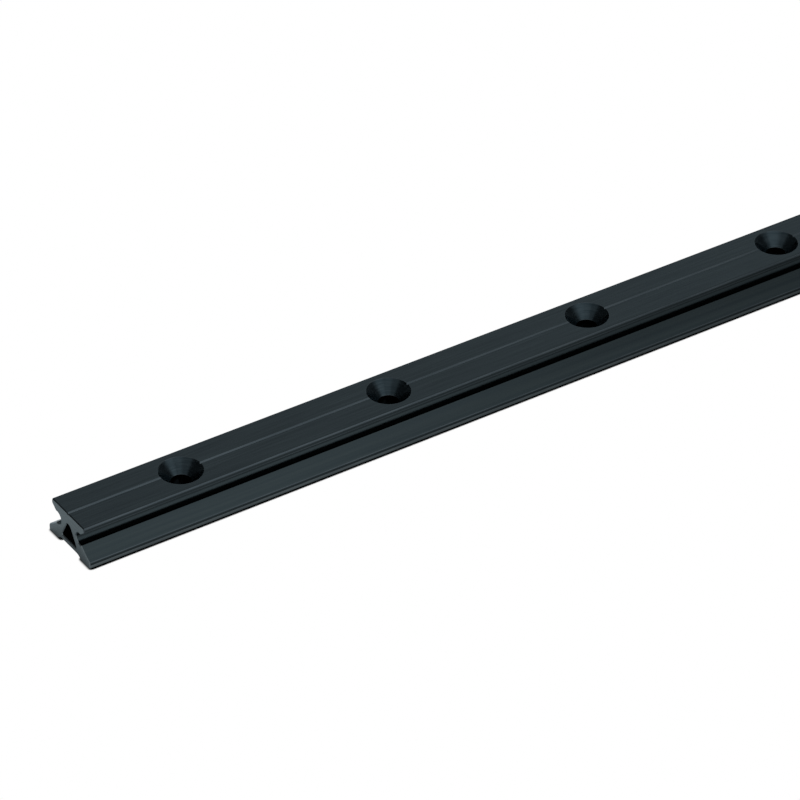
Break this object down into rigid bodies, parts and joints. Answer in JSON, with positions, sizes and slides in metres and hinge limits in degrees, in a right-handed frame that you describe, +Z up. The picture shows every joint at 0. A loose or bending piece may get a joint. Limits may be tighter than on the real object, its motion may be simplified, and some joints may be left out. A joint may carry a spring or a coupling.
{
  "type": "sail track section",
  "caption": "Straight black anodised aluminium sail track with a flat head, a round ball race along each side, a flared hollow base and countersunk screw holes.",
  "frame": {"origin": "under the middle of the base, on the plane that the two feet rest on, halfway along the track", "axes": "+X along the track, +Y across it, +Z up through the flat head"},
  "size_m": [1, 0.032, 0.018],
  "materials": {
    "anodised_aluminium": "hard-anodised black, satin, with fine extrusion lines along its length and a plainer sawn face at each end"
  },
  "bodies": {
    "root": {"track_rail": "anodised_aluminium"}
  },
  "joints": []
}
